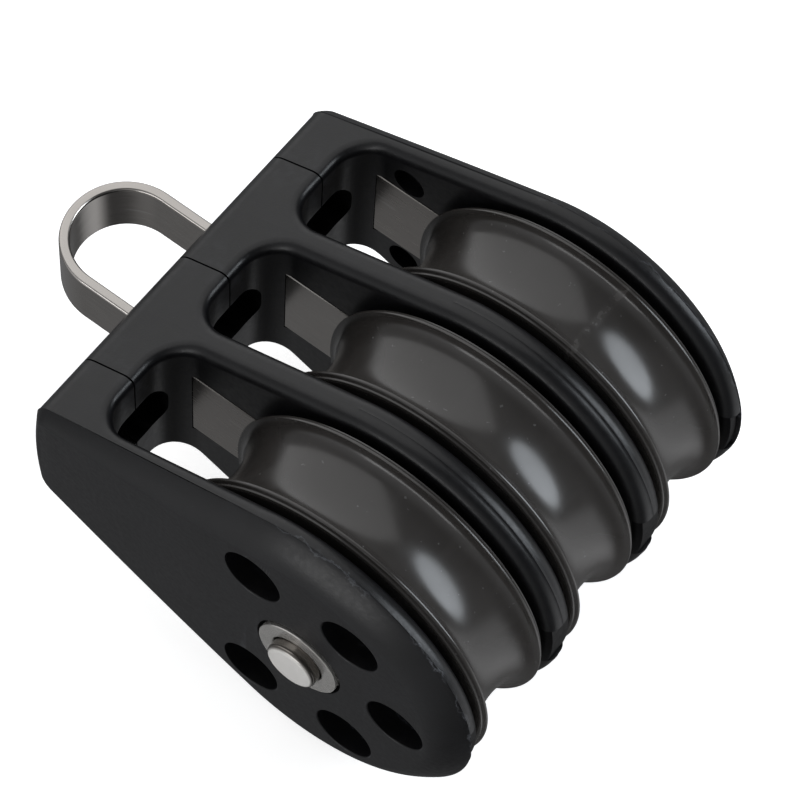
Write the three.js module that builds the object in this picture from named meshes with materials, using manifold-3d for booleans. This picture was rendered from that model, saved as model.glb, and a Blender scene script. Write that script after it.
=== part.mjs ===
// Triple sheave block with a fixed bow eye: three grooved sheaves side by side on one axle, held between
// four teardrop cheek mouldings, with stainless straps that carry the load from the axle to the bow.
//
// Millimetres. While the pieces are made, X runs along the block (tail +X, bow eye -X), Y runs along the
// axle (near side -Y) and the axle's centre is the origin. The last lines set the whole block down so that
// the origin is the middle of its footprint. Every side piece is made once, for the near side, and the
// far side's copy is its mirror image. "Depth" is the distance from the middle plane Y = 0.
import * as THREE from "three";
import { LoftGeometry } from "three/addons/geometries/LoftGeometry.js";
import { mergeVertices } from "three/addons/utils/BufferGeometryUtils.js";
import Module from "manifold-3d";

// ---- Driving dimensions -------------------------------------------------------------------------
const GAP = 0.3; // between pieces that touch in the real block
const RUNNING_GAP = 0.1; // radial clearance of a sheave's bush on the axle

const SHEAVE_RADIUS = 22.5;
const SHEAVE_WIDTH = 12;
const SHEAVE_PITCH = 18; // from one sheave's middle plane to the next
const GROOVE_DEPTH = 2.4;
const GROOVE_HALF_WIDTH = 4.9;
const LIP_ROUND = 0.6;

const SLOT_HALF_WIDTH = 6.9;
const SLOT_FILLET = 4.5; // where a cheek's wall turns into the head
const HEAD_FRONT_X = -34;
const HEAD_BACK_X = -42;
const HEAD_CORNER = 3.2;

const CHEEK_RADIUS = 23; // round tail, concentric with the axle
const CHEEK_TAPER = THREE.MathUtils.degToRad(21); // each long edge's slope towards the head
const OUTER_FACE_DEPTH = 29.9; // around the axle and the tail
const OUTER_FACE_HEAD_DEPTH = 27.8; // at the head's back
const CAMBER_START_X = -6;
const CAMBER_POWER = 1.7;
const PARTING_DEPTH = 26.9; // of the outer cheek's widest line, around the tail
const PARTING_HEAD_DEPTH = 26.3;
const OUTER_RIM_WIDTH = 4.4; // how far the outer face's edge lies inside the widest line
const OUTER_RIM_HEAD_WIDTH = 1.3;
const OUTER_RIM_POWER = 1.3; // 1 is a straight chamfer, 2 a quarter of an ellipse
const INNER_RIM_WIDTH = 1.7; // the rounding of every edge along a slot

const HOLE_CIRCLE_RADIUS = 14.1;
const HOLE_RADIUS = 4;
const HOLE_ANGLES = [-120, -60, 0, 60, 120];
const RECESS_RADIUS = 2.25;
const RECESS_DEPTH = 1.6;
const RECESS_X = -26;
const RECESS_Z = 9;
const NOTCH_HALF_HEIGHT = 4.1;
const NOTCH_DEPTH = 0.4;

const AXLE_RADIUS = 3.45;
const AXLE_CHAMFER = 0.35;
const AXLE_PROUD = 1.5; // beyond the outer faces
const BORE_RADIUS = AXLE_RADIUS + GAP;
const WASHER_RADIUS = 5.85;
const WASHER_THICKNESS = 1.4;
const WASHER_SUNK = 0.15;
const BUSH_RADIUS = 5.6;

const STRAP_THICKNESS = 1.2;
const STRAP_HALF_HEIGHT = 6.4;
const STRAP_PROUD = 0.1; // of the slot wall it lies in
const STRAP_BACK_X = -41.2;
const BOW_THICKNESS = 1.4;
const BOW_HALF_WIDTH = 4;
const BOW_INNER_DEPTH = 6.8;
const BOW_CROWN_X = -49.8;
const BOW_CROWN_FLATS = 15; // an odd number, so that one flat is square to X
const HEAD_PIN_X = -39;
const HEAD_PIN_RADIUS = 1.4;
const POCKET_HALF_WIDTH = 5; // of the pocket in each slot's end wall
const POCKET_HALF_HEIGHT = 4.2;
const POCKET_CORNER = 3.2;
const POCKET_DEPTH = 2.9;

const INNER_WALL = SLOT_HALF_WIDTH;
const INNER_CHEEK_OUTER = SHEAVE_PITCH - SLOT_HALF_WIDTH;
const OUTER_CHEEK_INNER = SHEAVE_PITCH + SLOT_HALF_WIDTH;

// ---- Materials ----------------------------------------------------------------------------------
const COLOURS = {
  nylon: { color: 0x161719, roughness: 0.55, metalness: 0 },
  sheave: { color: 0x2a2c30, roughness: 0.35, metalness: 0 },
  bush: { color: 0x4a4c4f, roughness: 0.5, metalness: 0 },
  steel: { color: 0xb9bbbd, roughness: 0.35, metalness: 1 },
};

// ---- Solids -------------------------------------------------------------------------------------
const wasm = await Module();
wasm.setup();

// A three.js geometry as a solid that can be joined and cut.
function solid(geometry) {
  const bare = new THREE.BufferGeometry();
  bare.setAttribute("position", geometry.getAttribute("position"));
  bare.setIndex(geometry.getIndex());
  const merged = mergeVertices(bare, 1e-4);
  const vertProperties = merged.attributes.position.array;
  const triVerts = new Uint32Array(merged.index.array);
  return new wasm.Manifold(new wasm.Mesh({ numProp: 3, vertProperties, triVerts }));
}

// The solid's surface as a three.js geometry.
function surface(body) {
  const mesh = body.getMesh();
  const geometry = new THREE.BufferGeometry();
  geometry.setAttribute("position", new THREE.BufferAttribute(mesh.vertProperties, 3));
  geometry.setIndex(new THREE.BufferAttribute(mesh.triVerts, 1));
  geometry.computeVertexNormals();
  return geometry;
}

// A flat shape drawn in X and Z, made solid between two depths on the near side.
function slab(shape, fromDepth, toDepth, curveSegments = 8) {
  const depth = toDepth - fromDepth;
  const geometry = new THREE.ExtrudeGeometry(shape, { depth, bevelEnabled: false, curveSegments });
  return solid(geometry.rotateX(Math.PI / 2).translate(0, -fromDepth, 0));
}

// A flat shape drawn in X and Y, made solid between -halfHeight and +halfHeight in Z.
function column(shape, halfHeight, curveSegments = 6) {
  const options = { depth: 2 * halfHeight, bevelEnabled: false, curveSegments };
  return solid(new THREE.ExtrudeGeometry(shape, options).translate(0, 0, -halfHeight));
}

// A round bar along Y between two depths on the near side.
function roundBar(x, z, radius, fromDepth, toDepth, segments = 24) {
  const geometry = new THREE.CylinderGeometry(radius, radius, toDepth - fromDepth, segments);
  return solid(geometry.translate(x, -(fromDepth + toDepth) / 2, z));
}

// A ring or disc around the axle from a closed profile of [radius, y] points.
function turned(profile, segments) {
  const points = profile.map(([radius, y]) => new THREE.Vector2(radius, y));
  return solid(new THREE.LatheGeometry(points, segments));
}

// ---- Cheek mouldings ----------------------------------------------------------------------------
// Half of the teardrop outline, from the tail's tip over the upper edge to the middle of the head's back.
function halfOutline() {
  const points = [];
  const sine = Math.sin(CHEEK_TAPER);
  const cosine = Math.cos(CHEEK_TAPER);
  const tangent = Math.PI / 2 + CHEEK_TAPER;
  const addArc = (cx, cz, radius, from, to, steps) => {
    for (let i = 0; i <= steps; i += 1) {
      const angle = from + ((to - from) * i) / steps;
      const nx = Math.cos(angle);
      const nz = Math.sin(angle);
      points.push({ x: cx + radius * nx, z: cz + radius * nz, nx, nz });
    }
  };
  addArc(0, 0, CHEEK_RADIUS, 0, Math.PI / 2, 11);
  points.pop();
  addArc(0, 0, CHEEK_RADIUS, Math.PI / 2, tangent, 3);
  const cornerX = HEAD_BACK_X + HEAD_CORNER;
  const cornerZ = (CHEEK_RADIUS - HEAD_CORNER + sine * cornerX) / cosine;
  const start = points[points.length - 1];
  const endX = cornerX - HEAD_CORNER * sine;
  const endZ = cornerZ + HEAD_CORNER * cosine;
  for (const t of [0.3, 0.6, 0.85]) {
    const x = THREE.MathUtils.lerp(start.x, endX, t);
    const z = THREE.MathUtils.lerp(start.z, endZ, t);
    points.push({ x, z, nx: -sine, nz: cosine });
  }
  addArc(cornerX, cornerZ, HEAD_CORNER, tangent, Math.PI, 3);
  points.push({ x: HEAD_BACK_X, z: 0, nx: -1, nz: 0 });
  return points;
}

const OUTLINE = halfOutline();

// One closed ring of the outline, set in by inset(x) and lying at depth(x); a flattened ring lies on Z = 0.
function ring(depth, inset, flattened = false) {
  const upper = OUTLINE.map(({ x, z, nx, nz }) => {
    const height = flattened ? 0 : Math.max(z - nz * inset(x), 0);
    return new THREE.Vector3(x - nx * inset(x), -depth(x), height);
  });
  const lower = upper.slice(1, -1).reverse();
  return [...upper, ...lower.map((p) => new THREE.Vector3(p.x, p.y, -p.z))];
}

// A plate of the teardrop outline with rounded rims. inner, parting and outer give the depth of its inner
// face, of its widest line and of its outer face at x; outerWidth gives the outer rim's width there.
function teardropPlate(inner, parting, outer, outerWidth, outerPower) {
  const innerWidth = () => INNER_RIM_WIDTH;
  const sections = [ring(inner, innerWidth, true)];
  for (let i = 0; i <= 4; i += 1) {
    const angle = (Math.PI / 2) * (i / 4);
    const depth = (x) => parting(x) - (parting(x) - inner(x)) * Math.cos(angle);
    sections.push(ring(depth, () => INNER_RIM_WIDTH * (1 - Math.sin(angle))));
  }
  for (let i = 1; i <= 4; i += 1) {
    const angle = (Math.PI / 2) * (i / 4);
    const rise = Math.sin(angle) ** (2 / outerPower);
    const drop = 1 - Math.cos(angle) ** (2 / outerPower);
    const depth = (x) => parting(x) + (outer(x) - parting(x)) * rise;
    sections.push(ring(depth, (x) => outerWidth(x) * drop));
  }
  sections.push(ring(outer, outerWidth, true));
  return solid(new LoftGeometry(sections));
}

// A square-edged prism of the teardrop outline.
function teardropPrism(fromDepth, toDepth) {
  const shape = new THREE.Shape();
  const lower = OUTLINE.slice(1, -1).reverse();
  const corners = [...OUTLINE, ...lower.map((p) => ({ x: p.x, z: -p.z }))];
  shape.setFromPoints(corners.map((p) => new THREE.Vector2(p.x, p.z)));
  return slab(shape, fromDepth, toDepth);
}

// A size of the outer cheek at x: its first value over the axle and tail, easing to its second at the head.
function cambered(atTail, atHead) {
  return (x) => {
    const along = THREE.MathUtils.clamp((CAMBER_START_X - x) / (CAMBER_START_X - HEAD_BACK_X), 0, 1);
    return THREE.MathUtils.lerp(atTail, atHead, along ** CAMBER_POWER);
  };
}

// A strap's outline in X and Z: straight from the head, round over the axle.
function strapShape(halfHeight, backX) {
  const shape = new THREE.Shape();
  shape.moveTo(backX, -halfHeight);
  shape.lineTo(0, -halfHeight);
  shape.absarc(0, 0, halfHeight, -Math.PI / 2, Math.PI / 2, false);
  shape.lineTo(backX, halfHeight);
  return shape;
}

// The seat that a plate lying between two depths needs in a moulding.
function strapSeat(fromDepth, toDepth) {
  return slab(strapShape(STRAP_HALF_HEIGHT + GAP, STRAP_BACK_X - GAP), fromDepth - GAP, toDepth + GAP);
}

// The fillet between a slot's end wall and a cheek's wall, added to a path drawn in X and Y. side is 1 for a
// cheek at greater depth than the slot, and -1 for a cheek at less; the path runs towards greater depth.
function addFillet(path, wallDepth, side) {
  const centreDepth = wallDepth - side * SLOT_FILLET;
  for (let i = 0; i <= 6; i += 1) {
    const turn = (Math.PI / 2) * (side > 0 ? i / 6 : 1 - i / 6);
    const x = HEAD_FRONT_X + SLOT_FILLET - SLOT_FILLET * Math.cos(turn);
    const depth = centreDepth + side * SLOT_FILLET * Math.sin(turn);
    path.lineTo(x, -depth);
  }
}

// The round-cornered pocket in the end wall of the slot whose middle is at a depth.
function headPocket(depth) {
  const shape = new THREE.Shape();
  const cornerZ = POCKET_HALF_HEIGHT - POCKET_CORNER;
  const cornerY = POCKET_HALF_WIDTH - POCKET_CORNER;
  shape.absarc(cornerZ, cornerY, POCKET_CORNER, 0, Math.PI / 2, false);
  shape.absarc(-cornerZ, cornerY, POCKET_CORNER, Math.PI / 2, Math.PI, false);
  shape.absarc(-cornerZ, -cornerY, POCKET_CORNER, Math.PI, 1.5 * Math.PI, false);
  shape.absarc(cornerZ, -cornerY, POCKET_CORNER, 1.5 * Math.PI, 2 * Math.PI, false);
  const options = { depth: 2 * POCKET_DEPTH, bevelEnabled: false, curveSegments: 6 };
  const geometry = new THREE.ExtrudeGeometry(shape, options).rotateY(Math.PI / 2);
  return solid(geometry.translate(HEAD_FRONT_X - POCKET_DEPTH, -depth, 0));
}

// The pockets in the slots' end walls, and the bore of the head's cross pin.
function cutHead(body, pinToDepth) {
  const cut = body.subtract(headPocket(0)).subtract(headPocket(SHEAVE_PITCH));
  return cut.subtract(roundBar(HEAD_PIN_X, 0, HEAD_PIN_RADIUS + GAP, -1, pinToDepth, 20));
}

// The shallow step round the tail's rim, between two depths.
function tailNotch(fromDepth, toDepth) {
  const shape = new THREE.Shape();
  const turn = Math.asin(NOTCH_HALF_HEIGHT / CHEEK_RADIUS);
  shape.absarc(0, 0, CHEEK_RADIUS - NOTCH_DEPTH, -turn, turn, false);
  shape.absarc(0, 0, CHEEK_RADIUS + 2, turn, -turn, true);
  return slab(shape, fromDepth, toDepth);
}

function outerCheek() {
  const inner = () => OUTER_CHEEK_INNER;
  const parting = cambered(PARTING_DEPTH, PARTING_HEAD_DEPTH);
  const outer = cambered(OUTER_FACE_DEPTH, OUTER_FACE_HEAD_DEPTH);
  const rimWidth = cambered(OUTER_RIM_WIDTH, OUTER_RIM_HEAD_WIDTH);
  const plate = teardropPlate(inner, parting, outer, rimWidth, OUTER_RIM_POWER);
  const seam = SHEAVE_PITCH + GAP / 2;
  const headTo = parting(HEAD_BACK_X);
  const head = new THREE.Shape();
  head.moveTo(HEAD_BACK_X - 1, -seam);
  head.lineTo(HEAD_FRONT_X, -seam);
  addFillet(head, OUTER_CHEEK_INNER, 1);
  head.lineTo(HEAD_FRONT_X + SLOT_FILLET, -headTo);
  head.lineTo(HEAD_BACK_X - 1, -headTo);
  let body = plate.add(column(head, 20).intersect(teardropPrism(seam, headTo)));
  const strapFrom = OUTER_CHEEK_INNER - STRAP_PROUD;
  body = cutHead(body, strapFrom + STRAP_THICKNESS + 2 * GAP);
  body = body.subtract(strapSeat(strapFrom, strapFrom + STRAP_THICKNESS));
  body = body.subtract(roundBar(0, 0, BORE_RADIUS, 20, 35, 32));
  const boreFloor = OUTER_FACE_DEPTH - WASHER_SUNK - WASHER_THICKNESS - GAP;
  body = body.subtract(roundBar(0, 0, WASHER_RADIUS + GAP, boreFloor, 35, 32));
  for (const degrees of HOLE_ANGLES) {
    const angle = THREE.MathUtils.degToRad(degrees);
    const x = HOLE_CIRCLE_RADIUS * Math.cos(angle);
    const z = HOLE_CIRCLE_RADIUS * Math.sin(angle);
    body = body.subtract(roundBar(x, z, HOLE_RADIUS, 20, 35));
  }
  for (const z of [-RECESS_Z, RECESS_Z]) {
    const recessTo = OUTER_CHEEK_INNER + RECESS_DEPTH;
    body = body.subtract(roundBar(RECESS_X, z, RECESS_RADIUS, 20, recessTo, 16));
  }
  return body.subtract(tailNotch(20, parting(CHEEK_RADIUS)));
}

function innerCheek() {
  const inner = () => INNER_WALL;
  const parting = () => (INNER_WALL + INNER_CHEEK_OUTER) / 2;
  const outer = () => INNER_CHEEK_OUTER;
  const plate = teardropPlate(inner, parting, outer, () => INNER_RIM_WIDTH, 2);
  const headFrom = GAP / 2;
  const headTo = SHEAVE_PITCH - GAP / 2;
  const head = new THREE.Shape();
  head.moveTo(HEAD_BACK_X - 1, -headFrom);
  head.lineTo(HEAD_FRONT_X, -headFrom);
  addFillet(head, INNER_WALL, 1);
  addFillet(head, INNER_CHEEK_OUTER, -1);
  head.lineTo(HEAD_FRONT_X, -headTo);
  head.lineTo(HEAD_BACK_X - 1, -headTo);
  let body = plate.add(column(head, 20).intersect(teardropPrism(headFrom, headTo)));
  body = cutHead(body, SHEAVE_PITCH + 1);
  const strapTo = INNER_CHEEK_OUTER + STRAP_PROUD;
  body = body.subtract(strapSeat(strapTo - STRAP_THICKNESS, strapTo));
  body = body.subtract(strapSeat(BOW_INNER_DEPTH, BOW_INNER_DEPTH + BOW_THICKNESS));
  const legSeat = new THREE.Shape();
  legSeat.moveTo(HEAD_BACK_X - 1, -BOW_HALF_WIDTH - GAP);
  legSeat.lineTo(STRAP_BACK_X + 1, -BOW_HALF_WIDTH - GAP);
  legSeat.lineTo(STRAP_BACK_X + 1, BOW_HALF_WIDTH + GAP);
  legSeat.lineTo(HEAD_BACK_X - 1, BOW_HALF_WIDTH + GAP);
  const seatTo = BOW_INNER_DEPTH + BOW_THICKNESS + GAP;
  body = body.subtract(slab(legSeat, BOW_INNER_DEPTH - GAP, seatTo));
  body = body.subtract(roundBar(0, 0, BORE_RADIUS, 0, 20, 32));
  return body.subtract(tailNotch(0, 20));
}

// ---- Metal pieces -------------------------------------------------------------------------------
// A flat plate between two depths, with the axle's hole and the head pin's hole.
function strapPlate(fromDepth, toDepth) {
  const plate = slab(strapShape(STRAP_HALF_HEIGHT, STRAP_BACK_X), fromDepth, toDepth, 10);
  const pinHole = roundBar(HEAD_PIN_X, 0, HEAD_PIN_RADIUS + GAP, fromDepth - 1, toDepth + 1, 20);
  return plate.subtract(roundBar(0, 0, BORE_RADIUS, fromDepth - 1, toDepth + 1, 32)).subtract(pinHole);
}

// The bow: one strip bent over at the crown, its legs widening inside the head into the two plates that
// line the middle sheave's slot.
function bowEye() {
  const outerDepth = BOW_INNER_DEPTH + BOW_THICKNESS;
  const legsFromX = STRAP_BACK_X + GAP;
  const strip = new THREE.Shape();
  strip.moveTo(legsFromX, -outerDepth);
  strip.lineTo(legsFromX, -BOW_INNER_DEPTH);
  addCrown(strip, BOW_INNER_DEPTH, false);
  strip.lineTo(legsFromX, BOW_INNER_DEPTH);
  strip.lineTo(legsFromX, outerDepth);
  addCrown(strip, outerDepth, true);
  const nearPlate = strapPlate(BOW_INNER_DEPTH, outerDepth);
  const farPlate = strapPlate(-outerDepth, -BOW_INNER_DEPTH);
  return column(strip, BOW_HALF_WIDTH).add(nearPlate).add(farPlate);
}

// Half a turn around the crown's centre.
function addCrown(path, radius, fromFarSide) {
  for (let i = 0; i <= BOW_CROWN_FLATS; i += 1) {
    const done = i / BOW_CROWN_FLATS;
    const turn = Math.PI * (fromFarSide ? done : 1 - done);
    path.lineTo(BOW_CROWN_X - radius * Math.sin(turn), radius * Math.cos(turn));
  }
}

function axlePin() {
  const end = OUTER_FACE_DEPTH + AXLE_PROUD;
  const round = AXLE_RADIUS - AXLE_CHAMFER;
  const straight = end - AXLE_CHAMFER;
  const side = [[0, -end], [round, -end], [AXLE_RADIUS, -straight]];
  const mirrored = side.map(([radius, y]) => [radius, -y]).reverse();
  return turned([...side, ...mirrored], 32);
}

function axleWasher() {
  const outerDepth = OUTER_FACE_DEPTH - WASHER_SUNK;
  const innerDepth = outerDepth - WASHER_THICKNESS;
  const disc = roundBar(0, 0, WASHER_RADIUS, innerDepth, outerDepth, 32);
  return disc.subtract(roundBar(0, 0, BORE_RADIUS, innerDepth - 1, outerDepth + 1, 32));
}

function headPin() {
  const end = OUTER_CHEEK_INNER - STRAP_PROUD + STRAP_THICKNESS + GAP;
  return roundBar(HEAD_PIN_X, 0, HEAD_PIN_RADIUS, -end, end, 20);
}

// ---- Sheaves ------------------------------------------------------------------------------------
// A grooved wheel about its own middle plane.
function sheave() {
  const half = SHEAVE_WIDTH / 2;
  const bore = BUSH_RADIUS + RUNNING_GAP;
  const near = [
    [bore, -half],
    [SHEAVE_RADIUS - LIP_ROUND, -half],
    [SHEAVE_RADIUS, -half + LIP_ROUND],
  ];
  const groove = [];
  for (let i = 0; i <= 8; i += 1) {
    const angle = Math.PI * (i / 8);
    const radius = SHEAVE_RADIUS - GROOVE_DEPTH * Math.sin(angle);
    groove.push([radius, -GROOVE_HALF_WIDTH * Math.cos(angle)]);
  }
  const far = near.map(([radius, y]) => [radius, -y]).reverse();
  return turned([...near, ...groove, ...far, near[0]], 48);
}

function sheaveBush() {
  const half = SHEAVE_WIDTH / 2;
  const bore = AXLE_RADIUS + RUNNING_GAP;
  const profile = [[bore, -half], [BUSH_RADIUS, -half], [BUSH_RADIUS, half], [bore, half], [bore, -half]];
  return turned(profile, 32);
}

// ---- Assembly -----------------------------------------------------------------------------------
const block = new THREE.Group();

function addPiece(name, geometry, look, mirrored = false, y = 0) {
  const mesh = new THREE.Mesh(geometry, new THREE.MeshStandardMaterial(COLOURS[look]));
  mesh.name = name;
  mesh.position.y = y;
  mesh.scale.y = mirrored ? -1 : 1;
  block.add(mesh);
}

// The near side's piece and its mirror image on the far side.
function addPair(name, body, look, suffix = "") {
  addPiece(`${name}_near${suffix}`, surface(body), look);
  addPiece(`${name}_far${suffix}`, surface(body), look, true);
}

addPair("outer_cheek", outerCheek(), "nylon");
addPair("inner_cheek", innerCheek(), "nylon");

const outerStrapDepth = OUTER_CHEEK_INNER - STRAP_PROUD;
const innerStrapDepth = INNER_CHEEK_OUTER + STRAP_PROUD - STRAP_THICKNESS;
addPair("side_strap", strapPlate(outerStrapDepth, outerStrapDepth + STRAP_THICKNESS), "steel", "_outer");
addPair("side_strap", strapPlate(innerStrapDepth, innerStrapDepth + STRAP_THICKNESS), "steel", "_inner");
addPiece("bow_eye", surface(bowEye()), "steel");
addPiece("axle_pin", surface(axlePin()), "steel");
addPair("axle_washer", axleWasher(), "steel");
addPiece("head_pin", surface(headPin()), "steel");

const sheavePlaces = { near: -SHEAVE_PITCH, mid: 0, far: SHEAVE_PITCH };
for (const [place, y] of Object.entries(sheavePlaces)) {
  addPiece(`sheave_${place}`, surface(sheave()), "sheave", false, y);
  addPiece(`sheave_bush_${place}`, surface(sheaveBush()), "bush", false, y);
}

// Set the block down on the middle of its footprint.
const crownRadius = (BOW_INNER_DEPTH + BOW_THICKNESS) * Math.cos(Math.PI / (2 * BOW_CROWN_FLATS));
const bowEndX = BOW_CROWN_X - crownRadius;
block.position.set(-(bowEndX + CHEEK_RADIUS) / 2, 0, CHEEK_RADIUS);

const part = new THREE.Group();
part.add(block);
export default part;
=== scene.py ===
import math

import bmesh
import bpy
from mathutils import Matrix, Vector


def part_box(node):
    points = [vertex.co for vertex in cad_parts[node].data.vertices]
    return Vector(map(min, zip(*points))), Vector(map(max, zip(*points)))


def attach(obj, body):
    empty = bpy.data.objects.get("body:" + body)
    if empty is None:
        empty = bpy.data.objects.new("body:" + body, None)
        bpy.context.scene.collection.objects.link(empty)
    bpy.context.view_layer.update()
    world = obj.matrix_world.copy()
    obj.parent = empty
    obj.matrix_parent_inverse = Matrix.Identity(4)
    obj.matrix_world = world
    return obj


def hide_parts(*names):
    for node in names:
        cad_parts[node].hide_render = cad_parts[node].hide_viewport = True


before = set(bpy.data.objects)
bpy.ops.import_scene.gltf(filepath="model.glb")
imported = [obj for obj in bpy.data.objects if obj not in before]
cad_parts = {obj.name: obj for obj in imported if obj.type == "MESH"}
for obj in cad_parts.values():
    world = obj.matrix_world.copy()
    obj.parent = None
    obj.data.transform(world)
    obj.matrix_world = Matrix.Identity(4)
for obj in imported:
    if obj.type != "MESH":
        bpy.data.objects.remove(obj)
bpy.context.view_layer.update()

# Shapes are worked out in millimetres about the middle of the axle: X along the block towards the tail, Y
# along the axle towards the far side, Z up. "Depth" is the distance from the middle plane Y = 0. MM and AXLE
# take them to the frame's metres.
MM = 0.001
AXLE_LOW, AXLE_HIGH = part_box("axle_pin")
AXLE = (AXLE_LOW + AXLE_HIGH) / 2

# ---- Sizes -------------------------------------------------------------------------------------------------
# They are within a millimetre of the CAD pieces' sizes, with the small rounds and grooves added that only
# show in a render.
SHEAVE_RADIUS = 22.5
SHEAVE_HALF_WIDTH = 6.0
SHEAVE_PITCH = 18.0
GROOVE_DEPTH = 2.5
SLOT_HALF_WIDTH = 6.9
SLOT_FILLET = 4.5
HEAD_FRONT_X = -34.0
HEAD_BACK_X = -42.0
PAST_HEAD_X = HEAD_BACK_X - 5
PAST_TAIL_X = 30
FAR_OUT = 60  # beyond every piece, for tools that cut right through
HEAD_BACK_BULGE = 0.4  # of the head's back, halfway up
HEAD_CORNER = 3.2
CHEEK_RADIUS = 23.0
TAPER = math.radians(21)
OUTER_FACE_DEPTH = 29.9
OUTER_FACE_HEAD_DEPTH = 27.8
CAMBER_START_X = -6.0
CAMBER_POWER = 1.7
OUTER_RIM_WIDTH = 4.4
OUTER_RIM_HEAD_WIDTH = 1.3
OUTER_RIM_POWER = 1.6  # 1 would be a straight chamfer; more runs more smoothly into the outer face
OUTER_RIM_STEPS = 12
OUTER_RIM_LAND = 0.2  # between the parting line and the start of the rounded rim
FLASH_HEIGHT = 0.08  # of the outer cheeks' parting line
INNER_WALL = SLOT_HALF_WIDTH
INNER_CHEEK_OUTER = SHEAVE_PITCH - SLOT_HALF_WIDTH
OUTER_CHEEK_INNER = SHEAVE_PITCH + SLOT_HALF_WIDTH
SHELL_DEPTH = 26.9  # where an outer cheek's widest line lies
SHELL_HEAD_DEPTH = 26.3
EDGE_ROUND = 1.7  # of the slots' edges
EDGE_ROUND_STEPS = 8
SEAM_OVERLAP = 2  # how far mouldings run past their seams until they are cut there
SEAM_HALF_GAP = 0.11
POCKET_DEPTH = 3.3
POCKET_HALF_WIDTH = 5.0
POCKET_HALF_HEIGHT = 4.2
POCKET_CORNER = 3.2
NOTCH_DEPTH = 0.45
NOTCH_HALF_HEIGHT = 4.1
NOTCH_FROM_X = 21.0
WASHER_FACE_DEPTH = 30.2
WASHER_RADIUS = 5.68
WASHER_THICKNESS = 1.8
AXLE_RADIUS = 3.45
AXLE_LONGER = 0.4  # at each end than the CAD pin
RECESS_X = -26
RECESS_Z = 9
RECESS_RADIUS = 2.25
RECESS_DEPTH = 1.7
HOLE_CIRCLE = 14.1
HOLE_RADIUS = 4.0
HOLE_LIP = 0.22
WASHER_SEAT_RADIUS = 6.05
WASHER_SEAT_FLOOR = 28.0
WASHER_SEAT_LIP = 0.15
BORE_RADIUS = 3.6
STRAP_GAP = 0.1
STRAP_THICKNESS = 1.2
STRAP_HALF_HEIGHT = 6.4
STRAP_PROUD = 0.1
STRAP_BACK_X = -41.2
BOW_THICKNESS = 1.4
BOW_HALF_WIDTH = 4.2
BOW_MIDDLE_Z = -0.75  # the bow hangs a little low in its slots
BOW_INNER_DEPTH = 6.8
BOW_CROWN_X = -50.2
BOW_LEG_END_X = STRAP_BACK_X + 1.5  # the legs reach a little way into the plates
BOW_BEND_X = -45
BOW_EDGE_ROUND = 0.4
ARC_STEPS = 90


# ---- Mesh helpers ------------------------------------------------------------------------------------------
def to_object(name, bm, material):
    """The mesh, moved from millimetres about the axle to the frame, as an object in the scene."""
    bmesh.ops.recalc_face_normals(bm, faces=bm.faces)
    bmesh.ops.transform(bm, matrix=Matrix.Translation(AXLE) @ Matrix.Scale(MM, 4), verts=bm.verts)
    mesh = bpy.data.meshes.new(name)
    bm.to_mesh(mesh)
    bm.free()
    piece = bpy.data.objects.new(name, mesh)
    bpy.context.scene.collection.objects.link(piece)
    mesh.materials.append(material)
    return piece


def working_object(bm):
    """A mesh in millimetres as an object that a Boolean can read."""
    bmesh.ops.recalc_face_normals(bm, faces=bm.faces)
    mesh = bpy.data.meshes.new("work")
    bm.to_mesh(mesh)
    bm.free()
    piece = bpy.data.objects.new("work", mesh)
    bpy.context.scene.collection.objects.link(piece)
    return piece


def combine(bm, tool, operation):
    """The mesh joined with, cut by or kept inside the tool's mesh. Both are used up."""
    body = working_object(bm)
    other = working_object(tool)
    modifier = body.modifiers.new("combine", "BOOLEAN")
    modifier.operation = operation
    modifier.object = other
    modifier.solver = "EXACT"
    graph = bpy.context.evaluated_depsgraph_get()
    made = bpy.data.meshes.new_from_object(body.evaluated_get(graph))
    result = bmesh.new()
    result.from_mesh(made)
    for piece in (body, other):
        old = piece.data
        bpy.data.objects.remove(piece)
        bpy.data.meshes.remove(old)
    bpy.data.meshes.remove(made)
    return result


def loft(rings, closed=False):
    """Faces between equal rings of points; the end rings are filled unless the loft closes on itself."""
    bm = bmesh.new()
    rows = [[bm.verts.new(p) for p in ring] for ring in rings]
    count = len(rows[0])
    pairs = list(zip(rows, rows[1:]))
    if closed:
        pairs.append((rows[-1], rows[0]))
    for a, b in pairs:
        for i in range(count):
            j = (i + 1) % count
            bm.faces.new((a[i], a[j], b[j], b[i]))
    if not closed:
        bm.faces.new(reversed(rows[0]))
        bm.faces.new(rows[-1])
    return bm


def slab(points, low, high):
    """A shape drawn in X and Z, solid between two values of Y."""
    return loft([[(x, y, z) for x, z in points] for y in (low, high)])


def column(points, half_height):
    """A shape drawn in X and Y, solid from -half_height to half_height in Z."""
    return loft([[(x, y, z) for x, y in points] for z in (-half_height, half_height)])


def turned(profile, steps):
    """A closed profile of (radius, y) points turned about the Y axis."""
    rings = []
    for i in range(steps):
        angle = 2 * math.pi * i / steps
        rings.append([(r * math.cos(angle), y, r * math.sin(angle)) for r, y in profile])
    bm = loft(rings, closed=True)
    bmesh.ops.remove_doubles(bm, verts=bm.verts, dist=1e-5)
    return bm


def bar(x, z, profile, steps=64):
    """A round tool along Y through (x, z), from a profile of (radius, y) points that may change radius."""
    rings = []
    for radius, y in profile:
        angles = [2 * math.pi * i / steps for i in range(steps)]
        rings.append([(x + radius * math.cos(a), y, z + radius * math.sin(a)) for a in angles])
    return loft(rings)


def join(tools):
    """Several meshes that don't touch as one."""
    whole = bmesh.new()
    for tool in tools:
        mesh = bpy.data.meshes.new("part")
        tool.to_mesh(mesh)
        tool.free()
        whole.from_mesh(mesh)
        bpy.data.meshes.remove(mesh)
    return whole


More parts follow.
